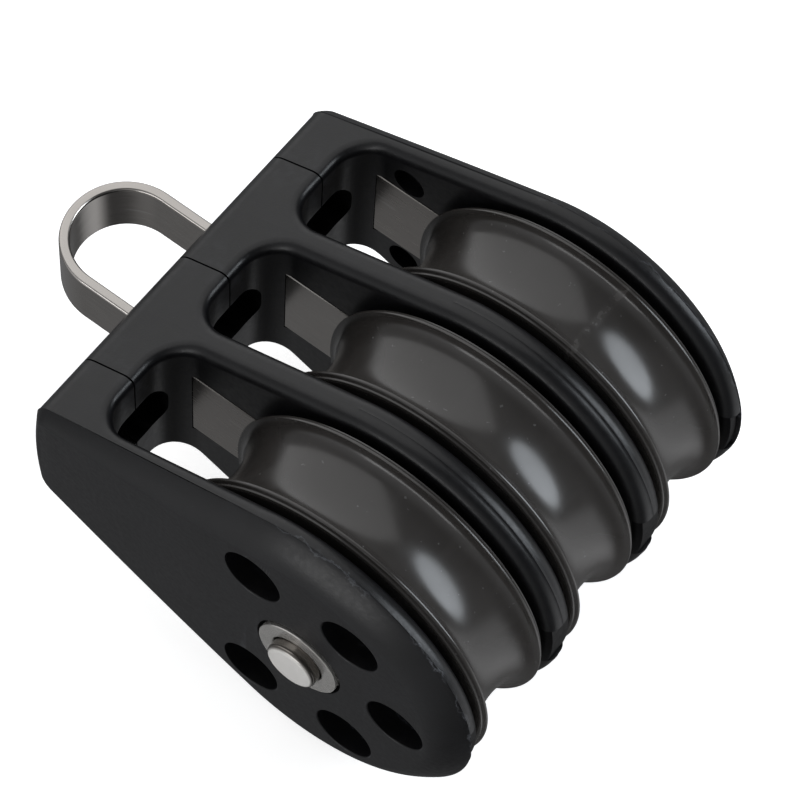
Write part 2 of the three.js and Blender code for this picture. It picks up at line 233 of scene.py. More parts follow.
def mirrored(bm):
    """A copy of the mesh on the other side of the middle plane."""
    copy = bm.copy()
    bmesh.ops.scale(copy, vec=(1, -1, 1), verts=copy.verts)
    bmesh.ops.reverse_faces(copy, faces=copy.faces)
    return copy


def smooth(piece, degrees=32):
    """Smooth shading across gentle edges, with flat faces kept flat."""
    piece.data.polygons.foreach_set("use_smooth", [True] * len(piece.data.polygons))
    piece.data.set_sharp_from_angle(angle=math.radians(degrees))
    modifier = piece.modifiers.new("weighted", "WEIGHTED_NORMAL")
    modifier.keep_sharp = True
    modifier.weight = 70
    return piece


def arc(cx, cy, radius, start, end, steps):
    """Points on an arc, both ends included; angles in degrees."""
    points = []
    for i in range(steps + 1):
        angle = math.radians(start + (end - start) * i / steps)
        points.append((cx + radius * math.cos(angle), cy + radius * math.sin(angle)))
    return points


# ---- Cheek mouldings ---------------------------------------------------------------------------------------
def half_outline():
    """Half the teardrop as (x, z, nx, nz), from the tail's tip over the top to the middle of the back."""
    sine = math.sin(TAPER)
    cosine = math.cos(TAPER)
    tangent = 90 + math.degrees(TAPER)
    points = []

    def add_arc(cx, cz, radius, start, end, steps):
        for i in range(steps + 1):
            angle = math.radians(start + (end - start) * i / steps)
            nx = math.cos(angle)
            nz = math.sin(angle)
            points.append((cx + radius * nx, cz + radius * nz, nx, nz))

    add_arc(0, 0, CHEEK_RADIUS, 0, tangent, ARC_STEPS)
    corner_x = HEAD_BACK_X + HEAD_CORNER
    corner_z = (CHEEK_RADIUS - HEAD_CORNER + sine * corner_x) / cosine
    start_x, start_z = points[-1][:2]
    end_x = corner_x - HEAD_CORNER * sine
    end_z = corner_z + HEAD_CORNER * cosine
    side_steps = 30
    for i in range(1, side_steps):
        t = i / side_steps
        points.append((start_x + (end_x - start_x) * t, start_z + (end_z - start_z) * t, -sine, cosine))
    add_arc(corner_x, corner_z, HEAD_CORNER, tangent, 180, 10)
    back_top = points[-1][1]
    for i in range(1, 9):
        t = 1 - i / 8
        points.append((HEAD_BACK_X - HEAD_BACK_BULGE * (1 - t * t), back_top * t, -1, 0))
    return points


OUTLINE = half_outline()


def outline_loop():
    """The whole teardrop as (x, z) points."""
    upper = [(x, z) for x, z, nx, nz in OUTLINE]
    return upper + [(x, -z) for x, z in reversed(upper[1:-1])]


def ring_at(depth, inset, flattened=False):
    """The outline set in by inset(x) at depth(x), on the near side; a flattened ring lies on Z = 0."""
    upper = []
    for x, z, nx, nz in OUTLINE:
        height = 0 if flattened else max(z - nz * inset(x), 0)
        upper.append((x - nx * inset(x), -depth(x), height))
    return upper + [(x, y, -z) for x, y, z in reversed(upper[1:-1])]


def camber(x):
    """0 over the axle and tail, growing to 1 at the head's back."""
    along = (CAMBER_START_X - x) / (CAMBER_START_X - HEAD_BACK_X)
    return min(max(along, 0), 1) ** CAMBER_POWER


def mix(a, b, t):
    return a + (b - a) * t


def slot_distance(x, depth, centre):
    """How far a point lies inside the material beside a slot: negative in the slot."""
    across = abs(depth - centre) - (SLOT_HALF_WIDTH - SLOT_FILLET)
    along = HEAD_FRONT_X + SLOT_FILLET - x
    if across > 0 and along > 0:
        return math.hypot(across, along) - SLOT_FILLET
    return max(across, along) - SLOT_FILLET


def fillet(wall_depth, side):
    """Plan points of the fillet between the head's front and a cheek's wall, towards greater depth."""
    centre = wall_depth - side * SLOT_FILLET
    points = []
    for i in range(15):
        turn = math.radians(90 * (i if side > 0 else 14 - i) / 14)
        x = HEAD_FRONT_X + SLOT_FILLET * (1 - math.cos(turn))
        points.append((x, -(centre + side * SLOT_FILLET * math.sin(turn))))
    return points


def round_edges(bm, wanted, width, steps):
    """Rounds the sharp edges whose two ends both satisfy wanted(x, depth, z)."""
    chosen = []
    for edge in bm.edges:
        if len(edge.link_faces) != 2 or edge.calc_face_angle() < math.radians(35):
            continue
        if all(wanted(v.co.x, -v.co.y, v.co.z) for v in edge.verts):
            chosen.append(edge)
    bmesh.ops.bevel(
        bm,
        geom=chosen,
        offset=width,
        offset_type="OFFSET",
        segments=steps,
        profile=0.5,
        affect="EDGES",
        clamp_overlap=False,
    )


def rough_moulding(plan):
    """The part of the teardrop prism inside a plan shape, in as few faces as it can have."""
    prism = slab(outline_loop(), -FAR_OUT, 2 * SEAM_OVERLAP)
    bm = combine(column(plan, FAR_OUT), prism, "INTERSECT")
    bmesh.ops.remove_doubles(bm, verts=bm.verts, dist=1e-4)
    bmesh.ops.dissolve_limit(bm, angle_limit=math.radians(0.05), verts=bm.verts, edges=bm.edges)
    return bm


def between(bm, low, high):
    """What lies between two depths."""
    square = [(-FAR_OUT, -FAR_OUT), (FAR_OUT, -FAR_OUT), (FAR_OUT, FAR_OUT), (-FAR_OUT, FAR_OUT)]
    return combine(bm, slab(square, -high, -low), "INTERSECT")


def on_slot_edge(*centres):
    """A test for points on the edge of one of these slots."""
    def test(x, depth, z):
        return any(abs(slot_distance(x, depth, c)) < 0.02 and abs(depth - c) < 7.2 for c in centres)
    return test


def outer_cheek_mesh():
    """The near outer cheek with its part of the head."""
    past_seam = SHEAVE_PITCH - SEAM_OVERLAP
    plan = [(PAST_HEAD_X, -past_seam), (HEAD_FRONT_X, -past_seam)] + fillet(OUTER_CHEEK_INNER, 1)
    plan += [(PAST_TAIL_X, -OUTER_CHEEK_INNER), (PAST_TAIL_X, -SHELL_DEPTH), (PAST_HEAD_X, -SHELL_DEPTH)]
    bm = rough_moulding(plan)
    round_edges(bm, on_slot_edge(SHEAVE_PITCH), EDGE_ROUND, EDGE_ROUND_STEPS)
    for vert in bm.verts:
        depth = -vert.co.y
        if depth > OUTER_CHEEK_INNER:
            thin = mix(SHELL_DEPTH, SHELL_HEAD_DEPTH, camber(vert.co.x)) - OUTER_CHEEK_INNER
            share = (depth - OUTER_CHEEK_INNER) / (SHELL_DEPTH - OUTER_CHEEK_INNER)
            vert.co.y = -(OUTER_CHEEK_INNER + share * thin)
    outer = max(bm.faces, key=lambda f: -f.calc_center_median().y if len(f.verts) > 50 else -99)
    bmesh.ops.delete(bm, geom=[outer], context="FACES_ONLY")
    add_shell(bm)
    bmesh.ops.remove_doubles(bm, verts=bm.verts, dist=2e-3)
    return cut_outer_cheek(between(bm, SHEAVE_PITCH + SEAM_HALF_GAP, FAR_OUT))


def add_shell(bm):
    """The outer cheek's rounded rim and cambered face, from the parting line outwards."""
    def inner(x):
        return mix(SHELL_DEPTH, SHELL_HEAD_DEPTH, camber(x))

    def outer(x):
        return mix(OUTER_FACE_DEPTH, OUTER_FACE_HEAD_DEPTH, camber(x))

    def width(x):
        return mix(OUTER_RIM_WIDTH, OUTER_RIM_HEAD_WIDTH, camber(x))

    rings = [ring_at(inner, lambda x: 0)]
    rings.append(ring_at(lambda x: inner(x) + FLASH_HEIGHT, lambda x: -FLASH_HEIGHT))
    rings.append(ring_at(lambda x: inner(x) + OUTER_RIM_LAND, lambda x: 0))
    for i in range(1, OUTER_RIM_STEPS + 1):
        along = i / OUTER_RIM_STEPS
        rise = 1 - (1 - along) ** OUTER_RIM_POWER
        rings.append(ring_at(
            lambda x: mix(inner(x) + OUTER_RIM_LAND, outer(x), rise),
            lambda x: width(x) * along,
        ))
    rings.append(ring_at(outer, width, flattened=True))
    rows = [[bm.verts.new(p) for p in ring] for ring in rings]
    count = len(rows[0])
    for a, b in zip(rows, rows[1:]):
        for i in range(count):
            j = (i + 1) % count
            bm.faces.new((a[i], a[j], b[j], b[i]))


def flared_hole(x, z, radius, mouth_depth, lip, floor_depth):
    """A tool for a round hole whose mouth is rounded over by lip."""
    profile = [(radius, -floor_depth)]
    for i in range(5):
        angle = math.pi / 2 * i / 4
        profile.append((radius + lip * (1 - math.cos(angle)), -(mouth_depth - lip + lip * math.sin(angle))))
    profile.append((radius + 3 * lip, -(mouth_depth + lip)))
    profile.append((radius + 3 * lip, -(mouth_depth + 3)))
    return bar(x, z, profile)


def strap_outline(half_height, back_x):
    """A plate with a round end about the axle and a square end at back_x, in X and Z."""
    points = [(back_x, -half_height)] + arc(0, 0, half_height, -90, 90, 28)
    return points + [(back_x, half_height)]


def axle_bore(low, high):
    """A tool for the axle's hole between two depths."""
    return bar(0, 0, [(BORE_RADIUS, -low), (BORE_RADIUS, -high)])


def strap_seat(low, high):
    """A tool for the recess that a plate between two depths lies in."""
    points = strap_outline(STRAP_HALF_HEIGHT + STRAP_GAP, STRAP_BACK_X - STRAP_GAP)
    return slab(points, -high - STRAP_GAP, -low + STRAP_GAP)


def head_pockets(*centres):
    """Tools for the round-cornered pockets in the slots' end walls."""
    tools = []
    for depth in centres:
        rings = []
        for x, grow in ((HEAD_FRONT_X + 3, 0.1), (HEAD_FRONT_X, 0.05), (HEAD_FRONT_X - POCKET_DEPTH, -0.1)):
            corner_y = POCKET_HALF_WIDTH - POCKET_CORNER
            corner_z = POCKET_HALF_HEIGHT - POCKET_CORNER
            ring = []
            for side_y, side_z, start in ((1, 1, 0), (-1, 1, 90), (-1, -1, 180), (1, -1, 270)):
                ring += arc(side_y * corner_y, side_z * corner_z, POCKET_CORNER + grow, start, start + 90, 10)
            rings.append([(x, y - depth, z) for y, z in ring])
        tools.append(loft(rings))
    return tools


def tail_notch(low, high):
    """A tool for the shallow step round the tail's rim between two depths."""
    base = CHEEK_RADIUS - NOTCH_DEPTH
    turn = math.degrees(math.asin(NOTCH_HALF_HEIGHT / CHEEK_RADIUS))
    points = arc(0, 0, base, -turn, turn, 12) + arc(0, 0, CHEEK_RADIUS + 3, turn, -turn, 12)
    return slab(points, -high, -low)


def cut_outer_cheek(bm):
    """The outer cheek with its holes, seats, recesses and pocket cut out."""
    holes = []
    for degrees in (-120, -60, 0, 60, 120):
        x = HOLE_CIRCLE * math.cos(math.radians(degrees))
        z = HOLE_CIRCLE * math.sin(math.radians(degrees))
        face = mix(OUTER_FACE_DEPTH, OUTER_FACE_HEAD_DEPTH, camber(x))
        holes.append(flared_hole(x, z, HOLE_RADIUS, face, HOLE_LIP, SHEAVE_PITCH + 2))
    holes.append(flared_hole(0, 0, WASHER_SEAT_RADIUS, OUTER_FACE_DEPTH, WASHER_SEAT_LIP, WASHER_SEAT_FLOOR))
    for z in (-RECESS_Z, RECESS_Z):
        ends = (OUTER_CHEEK_INNER - 2.9, OUTER_CHEEK_INNER + RECESS_DEPTH)
        holes.append(bar(RECESS_X, z, [(RECESS_RADIUS, -depth) for depth in ends], 32))
    holes += head_pockets(SHEAVE_PITCH)
    bm = combine(bm, join(holes), "DIFFERENCE")
    strap_from = OUTER_CHEEK_INNER - STRAP_PROUD
    bm = combine(bm, strap_seat(strap_from, strap_from + STRAP_THICKNESS), "DIFFERENCE")
    tools = join([axle_bore(20, 29), tail_notch(20, SHELL_DEPTH)])
    return combine(bm, tools, "DIFFERENCE")


def inner_cheek_mesh():
    """The near inner cheek with its part of the head."""
    low = -SEAM_OVERLAP
    high = SHEAVE_PITCH + SEAM_OVERLAP
    plan = [(PAST_HEAD_X, -low), (HEAD_FRONT_X, -low)] + fillet(INNER_WALL, 1)
    plan += [(PAST_TAIL_X, -INNER_WALL), (PAST_TAIL_X, -INNER_CHEEK_OUTER)] + fillet(INNER_CHEEK_OUTER, -1)
    plan += [(HEAD_FRONT_X, -high), (PAST_HEAD_X, -high)]
    bm = rough_moulding(plan)
    round_edges(bm, on_slot_edge(0, SHEAVE_PITCH), EDGE_ROUND, EDGE_ROUND_STEPS)
    add_flash_line(bm)
    bm = between(bm, SEAM_HALF_GAP, SHEAVE_PITCH - SEAM_HALF_GAP)
    bm = combine(bm, join(head_pockets(0, SHEAVE_PITCH)), "DIFFERENCE")
    strap_to = INNER_CHEEK_OUTER + STRAP_PROUD
    bm = combine(bm, strap_seat(strap_to - STRAP_THICKNESS, strap_to), "DIFFERENCE")
    bm = combine(bm, strap_seat(BOW_INNER_DEPTH, BOW_INNER_DEPTH + BOW_THICKNESS), "DIFFERENCE")
    leg_low = BOW_MIDDLE_Z - BOW_HALF_WIDTH - STRAP_GAP
    leg_high = BOW_MIDDLE_Z + BOW_HALF_WIDTH + STRAP_GAP
    leg = [(BOW_BEND_X, leg_low), (-40, leg_low), (-40, leg_high), (BOW_BEND_X, leg_high)]
    outer = BOW_INNER_DEPTH + BOW_THICKNESS + STRAP_GAP
    bm = combine(bm, slab(leg, -outer, -BOW_INNER_DEPTH + STRAP_GAP), "DIFFERENCE")
    tools = join([axle_bore(0, 20), tail_notch(3, 15)])
    return combine(bm, tools, "DIFFERENCE")


def add_flash_line(bm):
    """A hair of raised flash round an inner cheek's rim, on its middle plane."""
    middle = (INNER_WALL + INNER_CHEEK_OUTER) / 2
    for offset in (-0.12, 0, 0.12):
        geometry = bm.verts[:] + bm.edges[:] + bm.faces[:]
        bmesh.ops.bisect_plane(
            bm, geom=geometry, dist=1e-5, plane_co=(0, -middle - offset, 0), plane_no=(0, 1, 0)
        )
    for vert in bm.verts:
        if abs(vert.co.y + middle) < 1e-3 and vert.co.x > HEAD_FRONT_X + SLOT_FILLET:
            outward = Vector((vert.co.x, 0, vert.co.z)).normalized()
            if vert.co.x < CHEEK_RADIUS * math.cos(math.pi / 2 + TAPER):
                outward = Vector((-math.sin(TAPER), 0, math.copysign(math.cos(TAPER), vert.co.z)))
            vert.co += outward * 0.06


# ---- Metal and sheaves -------------------------------------------------------------------------------------
def strap_mesh(low, high):
    """A flat plate with softened edges and its axle hole."""
    rings = []
    for depth, inset in ((low, 0.1), (low + 0.1, 0), (high - 0.1, 0), (high, 0.1)):
        points = strap_outline(STRAP_HALF_HEIGHT - inset, STRAP_BACK_X + inset)
        rings.append([(x, -depth, z) for x, z in points])
    return combine(loft(rings), axle_bore(-40, 40), "DIFFERENCE")


def bow_mesh():
    """The bent strip, its legs running into the two plates beside the middle sheave."""
    middle = BOW_INNER_DEPTH + BOW_THICKNESS / 2
    path = [((BOW_LEG_END_X, -middle), (0, -1)), ((BOW_BEND_X, -middle), (0, -1))]
    for x, y in arc(0, 0, 1, -90, -270, 64):
        path.append(((BOW_CROWN_X + middle * x, middle * y), (x, y)))
    path += [((BOW_BEND_X, middle), (0, 1)), ((BOW_LEG_END_X, middle), (0, 1))]
    half = BOW_THICKNESS / 2
    edge = BOW_EDGE_ROUND
    section = []
    for cx, cz, start in ((1, 1, 0), (-1, 1, 90), (-1, -1, 180), (1, -1, 270)):
        section += arc(cx * (half - edge), cz * (BOW_HALF_WIDTH - edge), edge, start, start + 90, 6)
    rings = []
    for (x, y), (nx, ny) in path:
        rings.append([(x + nx * out, y + ny * out, z + BOW_MIDDLE_Z) for out, z in section])
    bm = loft(rings)
    for side in (-1, 1):
        plate = strap_mesh(BOW_INNER_DEPTH, BOW_INNER_DEPTH + BOW_THICKNESS)
        bm = combine(bm, plate if side < 0 else mirrored(plate), "UNION")
    return bm


def pin_mesh():
    """The axle, with a flat end and a small rounded chamfer at each side."""
    end = (AXLE_HIGH.y - AXLE_LOW.y) / 2 / MM + AXLE_LONGER
    half = [(0, -end), (1.5, -end + 0.01), (2.6, -end + 0.05), (3.05, -end + 0.12), (3.25, -end + 0.24),
            (AXLE_RADIUS - 0.05, -end + 0.42), (AXLE_RADIUS, -end + 0.65)]
    return turned(half + [(r, -y) for r, y in reversed(half)], 96)


def washer_mesh():
    """The near washer."""
    outer = WASHER_FACE_DEPTH
    inner = outer - WASHER_THICKNESS
    profile = [(BORE_RADIUS, -inner), (BORE_RADIUS, -outer + 0.12), (BORE_RADIUS + 0.12, -outer)]
    profile += [(WASHER_RADIUS - 0.2, -outer), (WASHER_RADIUS - 0.05, -outer + 0.05)]
    profile += [(WASHER_RADIUS, -outer + 0.2), (WASHER_RADIUS, -inner)]
    return turned(profile, 96)


def sheave_mesh():
    """The grooved wheel about its own middle plane, each lip with a shallow line turned into it."""
    half = SHEAVE_HALF_WIDTH
    near = [(5.7, -half), (8.4, -half), (8.7, -half + 0.35), (16.5, -half + 0.35), (16.8, -half)]
    near += [(SHEAVE_RADIUS - 0.9, -half), (SHEAVE_RADIUS - 0.6, -half + 0.04),
             (SHEAVE_RADIUS - 0.42, -half + 0.16), (SHEAVE_RADIUS - 0.36, -half + 0.34),
             (SHEAVE_RADIUS - 0.4, -half + 0.42), (SHEAVE_RADIUS - 0.3, -half + 0.5),
             (SHEAVE_RADIUS - 0.12, -half + 0.56), (SHEAVE_RADIUS - 0.03, -half + 0.66),
             (SHEAVE_RADIUS, -half + 0.8), (SHEAVE_RADIUS - 0.03, -half + 0.95)]
    groove = []
    groove_half = half - 0.98
    steps = 40
    for i in range(1, steps):
        angle = math.pi * i / steps
        radius = SHEAVE_RADIUS - 0.08 - GROOVE_DEPTH * math.sin(angle) ** 0.9
        groove.append((radius, -groove_half * math.cos(angle)))
    far = [(r, -y) for r, y in reversed(near)]
    return turned(near + groove + far, 240)


# ---- Materials ---------------------------------------------------------------------------------------------
class Nodes:
    """A material's node tree, built by short calls."""

    def __init__(self, name):
        self.material = bpy.data.materials.new(name)
        self.material.use_nodes = True
        self.tree = self.material.node_tree
        self.shader = next(n for n in self.tree.nodes if n.type == "BSDF_PRINCIPLED")
        self.coordinates = self.add("ShaderNodeTexCoord").outputs["Object"]

    def add(self, kind, **settings):
        node = self.tree.nodes.new(kind)
        for key, value in settings.items():
            setattr(node, key, value)
        return node

    def link(self, source, target):
        if isinstance(source, (int, float, tuple)):
            target.default_value = source
        else:
            self.tree.links.new(source, target)

    def set(self, **values):
        """Sets or links the shader's inputs; an underscore stands for a space."""
        for key, value in values.items():
            self.link(value, self.shader.inputs[key.replace("_", " ")])

    def noise(self, scale, detail=3.0, stretch=(1, 1, 1), roughness=0.5):
        """Noise with about scale spots per metre, stretched along the axes by stretch."""
        mapping = self.add("ShaderNodeMapping")
        self.link(self.coordinates, mapping.inputs["Vector"])
        mapping.inputs["Scale"].default_value = tuple(scale / s for s in stretch)
        node = self.add("ShaderNodeTexNoise")
        node.inputs["Scale"].default_value = 1.0
        node.inputs["Detail"].default_value = detail
        node.inputs["Roughness"].default_value = roughness
        self.link(mapping.outputs[0], node.inputs["Vector"])
        return node.outputs["Fac"]

    def remap(self, value, low, high, to_low=0.0, to_high=1.0):
        node = self.add("ShaderNodeMapRange")
        self.link(value, node.inputs["Value"])
        for name, number in (("From Min", low), ("From Max", high), ("To Min", to_low), ("To Max", to_high)):
            node.inputs[name].default_value = number
        return node.outputs[0]

    def math(self, operation, a, b=0.0):
        node = self.add("ShaderNodeMath", operation=operation)
        self.link(a, node.inputs[0])
        self.link(b, node.inputs[1])
        return node.outputs[0]

    def blend(self, factor, a, b):
        node = self.add("ShaderNodeMix", data_type="RGBA")
        self.link(factor, node.inputs["Factor"])
        self.link(a, node.inputs[6])
        self.link(b, node.inputs[7])
        return node.outputs[2]

    def bump(self, height, distance, strength=1.0, under=None):
        node = self.add("ShaderNodeBump")
        node.inputs["Strength"].default_value = strength
        node.inputs["Distance"].default_value = distance
        self.link(height, node.inputs["Height"])
        if under is not None:
            self.link(under, node.inputs["Normal"])
        return node.outputs[0]

    def worn_edges(self):
        """1 on convex edges, 0 on flats."""
        geometry = self.add("ShaderNodeNewGeometry")
        return self.remap(geometry.outputs["Pointiness"], 0.53, 0.60)

    def place(self):
        """X, Y and Z from the middle of the axle, in metres."""
        split = self.add("ShaderNodeSeparateXYZ")
        self.link(self.coordinates, split.inputs[0])
        return [self.math("SUBTRACT", split.outputs[i], AXLE[i]) for i in range(3)]

    def axle_radius(self):
        """Distance from the axle's centre line, in metres."""
        x, y, z = self.place()
        square = self.math("ADD", self.math("MULTIPLY", x, x), self.math("MULTIPLY", z, z))
        return self.math("SQRT", square)


def nylon_material():
    """Black glass-filled nylon: a faint grain, slightly greyed corners, and the step at the tail darker and
    less shiny.
    """
    m = Nodes("cheek_nylon")
    cloud = m.noise(220, 5)
    colour = m.blend(m.remap(cloud, 0.3, 0.7), (0.0034, 0.0034, 0.0040, 1), (0.0052, 0.0052, 0.0062, 1))
    speck = m.remap(m.noise(3000, 2), 0.68, 0.76)
    colour = m.blend(m.math("MULTIPLY", speck, 0.3), colour, (0.03, 0.032, 0.036, 1))
    scuff = m.math("MULTIPLY", m.worn_edges(), m.remap(m.noise(700, 4), 0.45, 0.66))
    colour = m.blend(m.math("MULTIPLY", scuff, 0.35), colour, (0.045, 0.048, 0.055, 1))
    rough = m.remap(m.noise(1500, 3), 0.3, 0.7, 0.31, 0.41)
    grain = m.bump(m.noise(3600, 2), 0.00002, 0.5)
    waves = m.bump(m.noise(150, 2), 0.00008, 0.25, grain)
    x, y, z = m.place()
    # The step round the tail's rim: a darker colour and a low specular level.
    step = m.remap(m.math("ABSOLUTE", z), (NOTCH_HALF_HEIGHT + 0.05) * MM, (NOTCH_HALF_HEIGHT - 0.1) * MM)
    step = m.math("MULTIPLY", step, m.remap(x, (NOTCH_FROM_X - 0.2) * MM, (NOTCH_FROM_X + 0.2) * MM))
    within = m.remap(m.math("ABSOLUTE", y), SHELL_DEPTH * MM, (SHELL_DEPTH - 0.1) * MM)
    step = m.math("MULTIPLY", step, within)
    colour = m.blend(step, colour, (0.002, 0.0018, 0.0022, 1))
    colour = m.blend(m.math("MULTIPLY", rim_flash(m), 0.6), colour, (0.075, 0.080, 0.090, 1))
    shine = m.remap(step, 0, 1, 0.41, 0.08)
    m.set(Base_Color=colour, Roughness=rough, Normal=waves, Specular_IOR_Level=shine)
    return m.material


def rim_flash(m):
    """1 on the pale, wandering line of moulding flash round the outer cheeks' rims, away from the head."""
    x, y, z = m.place()
    wander = m.remap(m.noise(330, 5, roughness=0.7), 0.3, 0.7, -0.0007, 0.0007)
    off = m.math("SUBTRACT", m.math("ABSOLUTE", y), (SHELL_DEPTH + 0.1) * MM)
    line = m.remap(m.math("ABSOLUTE", m.math("SUBTRACT", off, wander)), 0.00013, 0.00004)
    patchy = m.remap(m.noise(240, 2), 0.42, 0.55)
    tailward = m.remap(x, -0.010, -0.004)
    return m.math("MULTIPLY", m.math("MULTIPLY", line, patchy), tailward)


def acetal_material():
    """Smooth dark acetal with faint turning lines and a little dust."""
    m = Nodes("sheave_acetal")
    cloud = m.noise(120, 3)
    colour = m.blend(m.remap(cloud, 0.3, 0.7), (0.030, 0.0275, 0.0255, 1), (0.038, 0.035, 0.033, 1))
    streak = m.remap(m.noise(500, 3, stretch=(1, 12, 1)), 0.55, 0.8)
    colour = m.blend(m.math("MULTIPLY", streak, 0.25), colour, (0.055, 0.051, 0.048, 1))
    speck = m.remap(m.noise(1500, 1), 0.75, 0.81)
    colour = m.blend(m.math("MULTIPLY", speck, 0.5), colour, (0.16, 0.16, 0.16, 1))
    rough = m.remap(m.noise(300, 4), 0.3, 0.7, 0.18, 0.25)
    mark = far_sheave_mark(m)
    colour = m.blend(m.math("MULTIPLY", mark, 0.55), colour, (0.085, 0.080, 0.076, 1))
    rough = m.math("ADD", rough, m.math("MULTIPLY", mark, 0.12))
    rings = m.noise(900, 2, stretch=(40, 1, 40))
    turned_lines = m.bump(rings, 0.00001, 0.25)
    soft = m.bump(m.noise(160, 2), 0.00006, 0.2, turned_lines)
    m.set(Base_Color=colour, Roughness=rough, Normal=soft, Specular_IOR_Level=0.6)
    return m.material


def far_sheave_mark(m):
    """1 on a faint mould mark across the far sheave's groove, a little towards the tail from its top."""
    x, y, z = m.place()
    lean = math.radians(17)
    aside = m.math("SUBTRACT", m.math("MULTIPLY", x, math.cos(lean)), m.math("MULTIPLY", z, math.sin(lean)))
    line = m.remap(m.math("ABSOLUTE", aside), 0.0007, 0.0002)
    ragged = m.remap(m.noise(700, 3), 0.35, 0.6)
    far = m.math("GREATER_THAN", y, SHEAVE_PITCH / 2 * MM)
    upper = m.math("GREATER_THAN", z, 0.0)
    return m.math("MULTIPLY", m.math("MULTIPLY", line, ragged), m.math("MULTIPLY", far, upper))


def bush_material():
    """Grey bearing plastic with turning lines."""
    m = Nodes("bush_plastic")
    colour = m.blend(m.remap(m.noise(400, 3), 0.3, 0.7), (0.09, 0.09, 0.095, 1), (0.14, 0.14, 0.145, 1))
    lines = m.bump(m.noise(2500, 2, stretch=(30, 1, 30)), 0.00002, 0.5)
    m.set(Base_Color=colour, Roughness=m.remap(m.noise(900), 0.3, 0.7, 0.4, 0.55), Normal=lines)
    return m.material


def steel_material(name, shade, stretch, roughness):
    """Stainless steel with fine brushing, drawn out along the axes by stretch."""
    m = Nodes(name)
    brushed = m.noise(2600, 4, stretch=stretch)
    cloud = m.noise(140, 3)
    dark = tuple(c * 0.93 for c in shade) + (1,)
    light = tuple(shade) + (1,)
    colour = m.blend(m.remap(m.math("ADD", m.math("MULTIPLY", brushed, 0.6), m.math("MULTIPLY", cloud, 0.4)),
                             0.35, 0.65), dark, light)
    scratch = m.remap(m.noise(1800, 2, stretch=tuple(s * 2 for s in stretch)), 0.68, 0.74)
    colour = m.blend(m.math("MULTIPLY", scratch, 0.25), colour, (0.85, 0.85, 0.84, 1))
    rough = m.remap(brushed, 0.3, 0.7, roughness - 0.04, roughness + 0.05)
    normal = m.bump(brushed, 0.00001, 0.14)
    m.set(Base_Color=colour, Metallic=1.0, Roughness=rough, Normal=normal, Anisotropic=0.35)
    return m.material


def turned_steel_material(name, shade, roughness, metal=1.0, face_radius=0.0):
    """Stainless steel with fine rings about the axle, pale and dull inside face_radius metres."""
    m = Nodes(name)
    radius = m.axle_radius()
    wave = m.math("SINE", m.math("MULTIPLY", radius, 2 * math.pi / 0.00018))
    wobble = m.noise(900, 3)
    rings = m.math("ADD", m.math("MULTIPLY", wave, 0.5), wobble)
    cloud = m.remap(m.noise(500, 3), 0.35, 0.65)
    colour = m.blend(cloud, tuple(c * 0.85 for c in shade) + (1,), tuple(shade) + (1,))
    rough = m.remap(wobble, 0.3, 0.7, roughness - 0.04, roughness + 0.06)
    if face_radius:
        face = m.remap(radius, face_radius + 0.00015, face_radius - 0.00015)
        colour = m.blend(face, colour, (0.74, 0.725, 0.70, 1))
        rough = m.math("ADD", rough, m.math("MULTIPLY", face, 0.3))
        metal = m.remap(face, 0, 1, metal, 0.6)
    m.set(Base_Color=colour, Metallic=metal, Roughness=rough, Normal=m.bump(rings, 0.000006, 0.5))
    return m.material


def floor_material():
    """A pale, matt floor that glows a little, so that it stays white under dim lights."""
    m = Nodes("studio_floor")
    colour = m.blend(m.noise(3, 2), (0.86, 0.86, 0.86, 1), (0.9, 0.9, 0.9, 1))
    m.set(Base_Color=colour, Roughness=0.8, Normal=m.bump(m.noise(800, 2), 0.00005, 0.2))
    m.set(Emission_Color=(1, 1, 1, 1), Emission_Strength=0.72)
    return m.material


# ---- Camera ------------------------------------------------------------------------------------------------
CAMERA_AIM = Vector((-10.17, 2.66, 4.23))
CAMERA_AZIMUTH = math.radians(33.44)
CAMERA_ELEVATION = math.radians(61.59)
CAMERA_ROLL = math.radians(4.52)
CAMERA_DISTANCE = 497.8
CAMERA_LENS = 187.6


def add_camera():
    """A long lens looking down on the block from its tail end and near side."""
    data = bpy.data.cameras.new("photo_camera")
    data.lens = CAMERA_LENS
    data.sensor_width = 36
    data.clip_start = 0.01
    data.clip_end = 20
    camera = bpy.data.objects.new("photo_camera", data)
    bpy.context.scene.collection.objects.link(camera)
    flat = math.cos(CAMERA_ELEVATION)
    back = Vector((
        math.sin(CAMERA_AZIMUTH) * flat,
        -math.cos(CAMERA_AZIMUTH) * flat,
        math.sin(CAMERA_ELEVATION),
    ))
    right = Vector((math.cos(CAMERA_AZIMUTH), math.sin(CAMERA_AZIMUTH), 0))
    up = back.cross(right)
    right, up = (
        right * math.cos(CAMERA_ROLL) + up * math.sin(CAMERA_ROLL),
        up * math.cos(CAMERA_ROLL) - right * math.sin(CAMERA_ROLL),
    )
    place = AXLE + (CAMERA_AIM + back * CAMERA_DISTANCE) * MM
    turn = Matrix((right, up, back)).transposed().to_4x4()
    camera.matrix_world = Matrix.Translation(place) @ turn
    bpy.context.scene.camera = camera


add_camera()


# ---- Pieces ------------------------------------------------------------------------------------------------
nylon = nylon_material()
acetal = acetal_material()
bush = bush_material()
bow_steel = steel_material("bow_steel", (0.49, 0.465, 0.44), (9, 9, 1), 0.2)
strap_steel = steel_material("strap_steel", (0.42, 0.395, 0.37), (9, 1, 1), 0.24)
pin_face_radius = (AXLE_RADIUS - 0.25) * MM
pin_steel = turned_steel_material("pin_steel", (0.26, 0.24, 0.22), 0.2, 1.0, pin_face_radius)
washer_steel = turned_steel_material("washer_steel", (0.64, 0.625, 0.60), 0.1, 0.8)


def add_piece(name, bm, material, node, body="frame"):
    """A finished piece in place of a CAD node, riding on a body."""
    piece = smooth(to_object(name, bm, material))
    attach(piece, body)
    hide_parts(node)
    return piece


